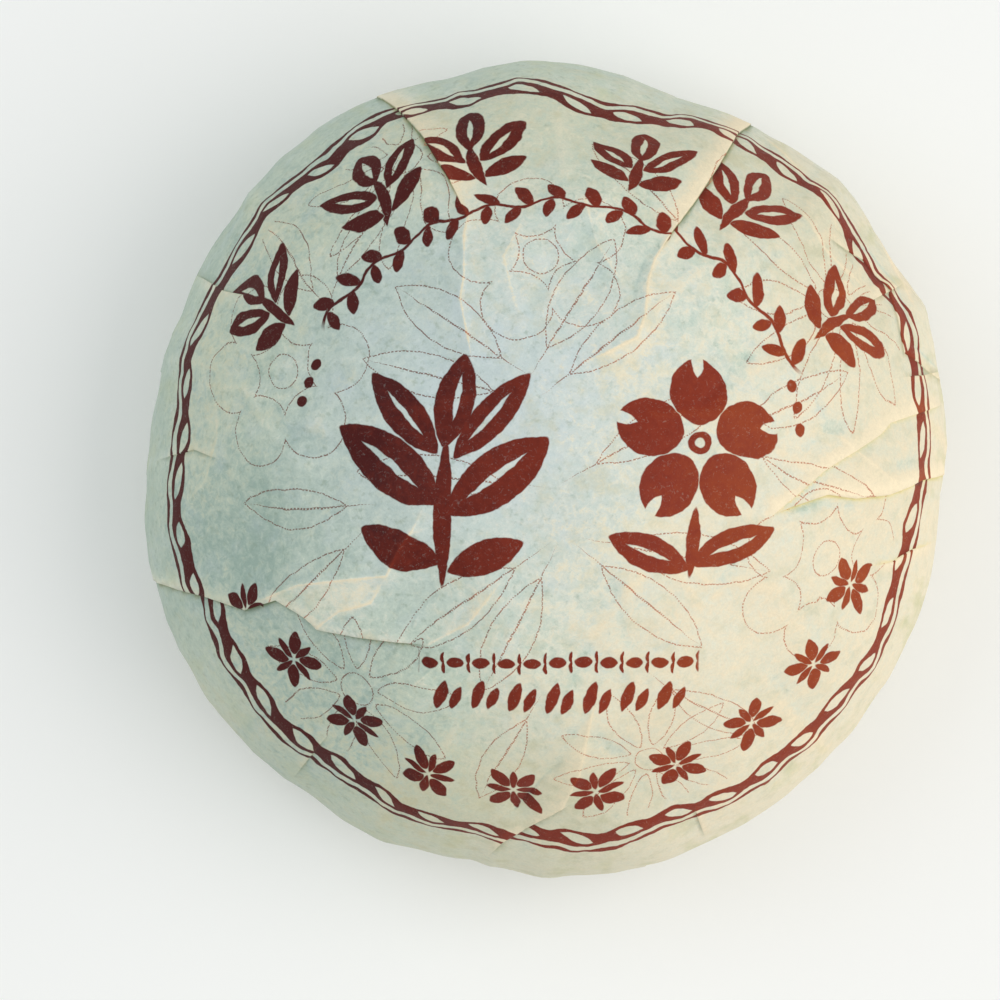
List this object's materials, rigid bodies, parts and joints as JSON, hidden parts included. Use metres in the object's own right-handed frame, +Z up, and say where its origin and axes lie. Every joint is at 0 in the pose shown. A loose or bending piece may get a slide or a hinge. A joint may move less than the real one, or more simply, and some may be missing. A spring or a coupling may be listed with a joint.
{
  "type": "pu-erh tuocha",
  "caption": "Bowl-shaped cake of pressed pu-erh tea in a printed thin paper wrapper, gathered in pleats under the rim and twisted into the hollow underneath.",
  "frame": {"origin": "on the ground, under the middle of the cake's outline", "axes": "+Z up through the crown of the dome, +X to the right and +Y away as the print is read from above"},
  "size_m": [0.1092, 0.1114, 0.0561],
  "materials": {
    "wrapper_paper": "thin cream cotton paper, lightly wrinkled, with a red-brown print"
  },
  "bodies": {
    "root": {"wrapped_tuocha": "wrapper_paper"}
  },
  "joints": []
}
